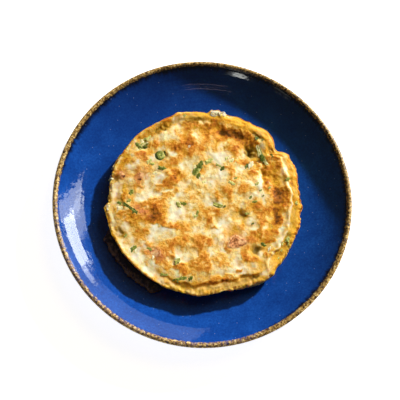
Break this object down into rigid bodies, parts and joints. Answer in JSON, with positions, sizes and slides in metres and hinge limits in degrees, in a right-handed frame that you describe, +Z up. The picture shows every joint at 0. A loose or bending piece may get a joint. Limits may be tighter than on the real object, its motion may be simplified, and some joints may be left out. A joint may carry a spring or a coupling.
{
  "type": "salmon omelette on a plate",
  "caption": "Thick round salmon omelette, browned side up, served on a deep blue glazed coupe plate with a brown rim.",
  "frame": {"origin": "middle of the plate's foot ring, on the surface that the plate stands on", "axes": "+Z up out of the plate, -Y towards the front edge where the omelette's layers part, +X to the right of it"},
  "size_m": [0.26, 0.26, 0.0263],
  "materials": {
    "blue_glaze": "glossy cobalt reactive glaze, darker and feathered below a speckled gold-brown rim",
    "browned_egg": "moist set egg, pale yellow to golden, with orange-brown fried patches",
    "cooked_salmon": "cooked salmon flake, pale pink-orange, browned on its high side",
    "green_onion": "soft cooked green onion, satin"
  },
  "bodies": {
    "root": {"plate": "blue_glaze", "omelette": "browned_egg", "salmon_flake_front": "cooked_salmon", "salmon_flake_left": "cooked_salmon", "salmon_flake_far_left": "cooked_salmon", "salmon_flake_low": "cooked_salmon", "onion_strip_back": "green_onion", "onion_piece_middle": "green_onion", "onion_piece_centre": "green_onion", "onion_piece_left": "green_onion", "onion_strip_left": "green_onion", "onion_ring": "green_onion"}
  },
  "joints": []
}
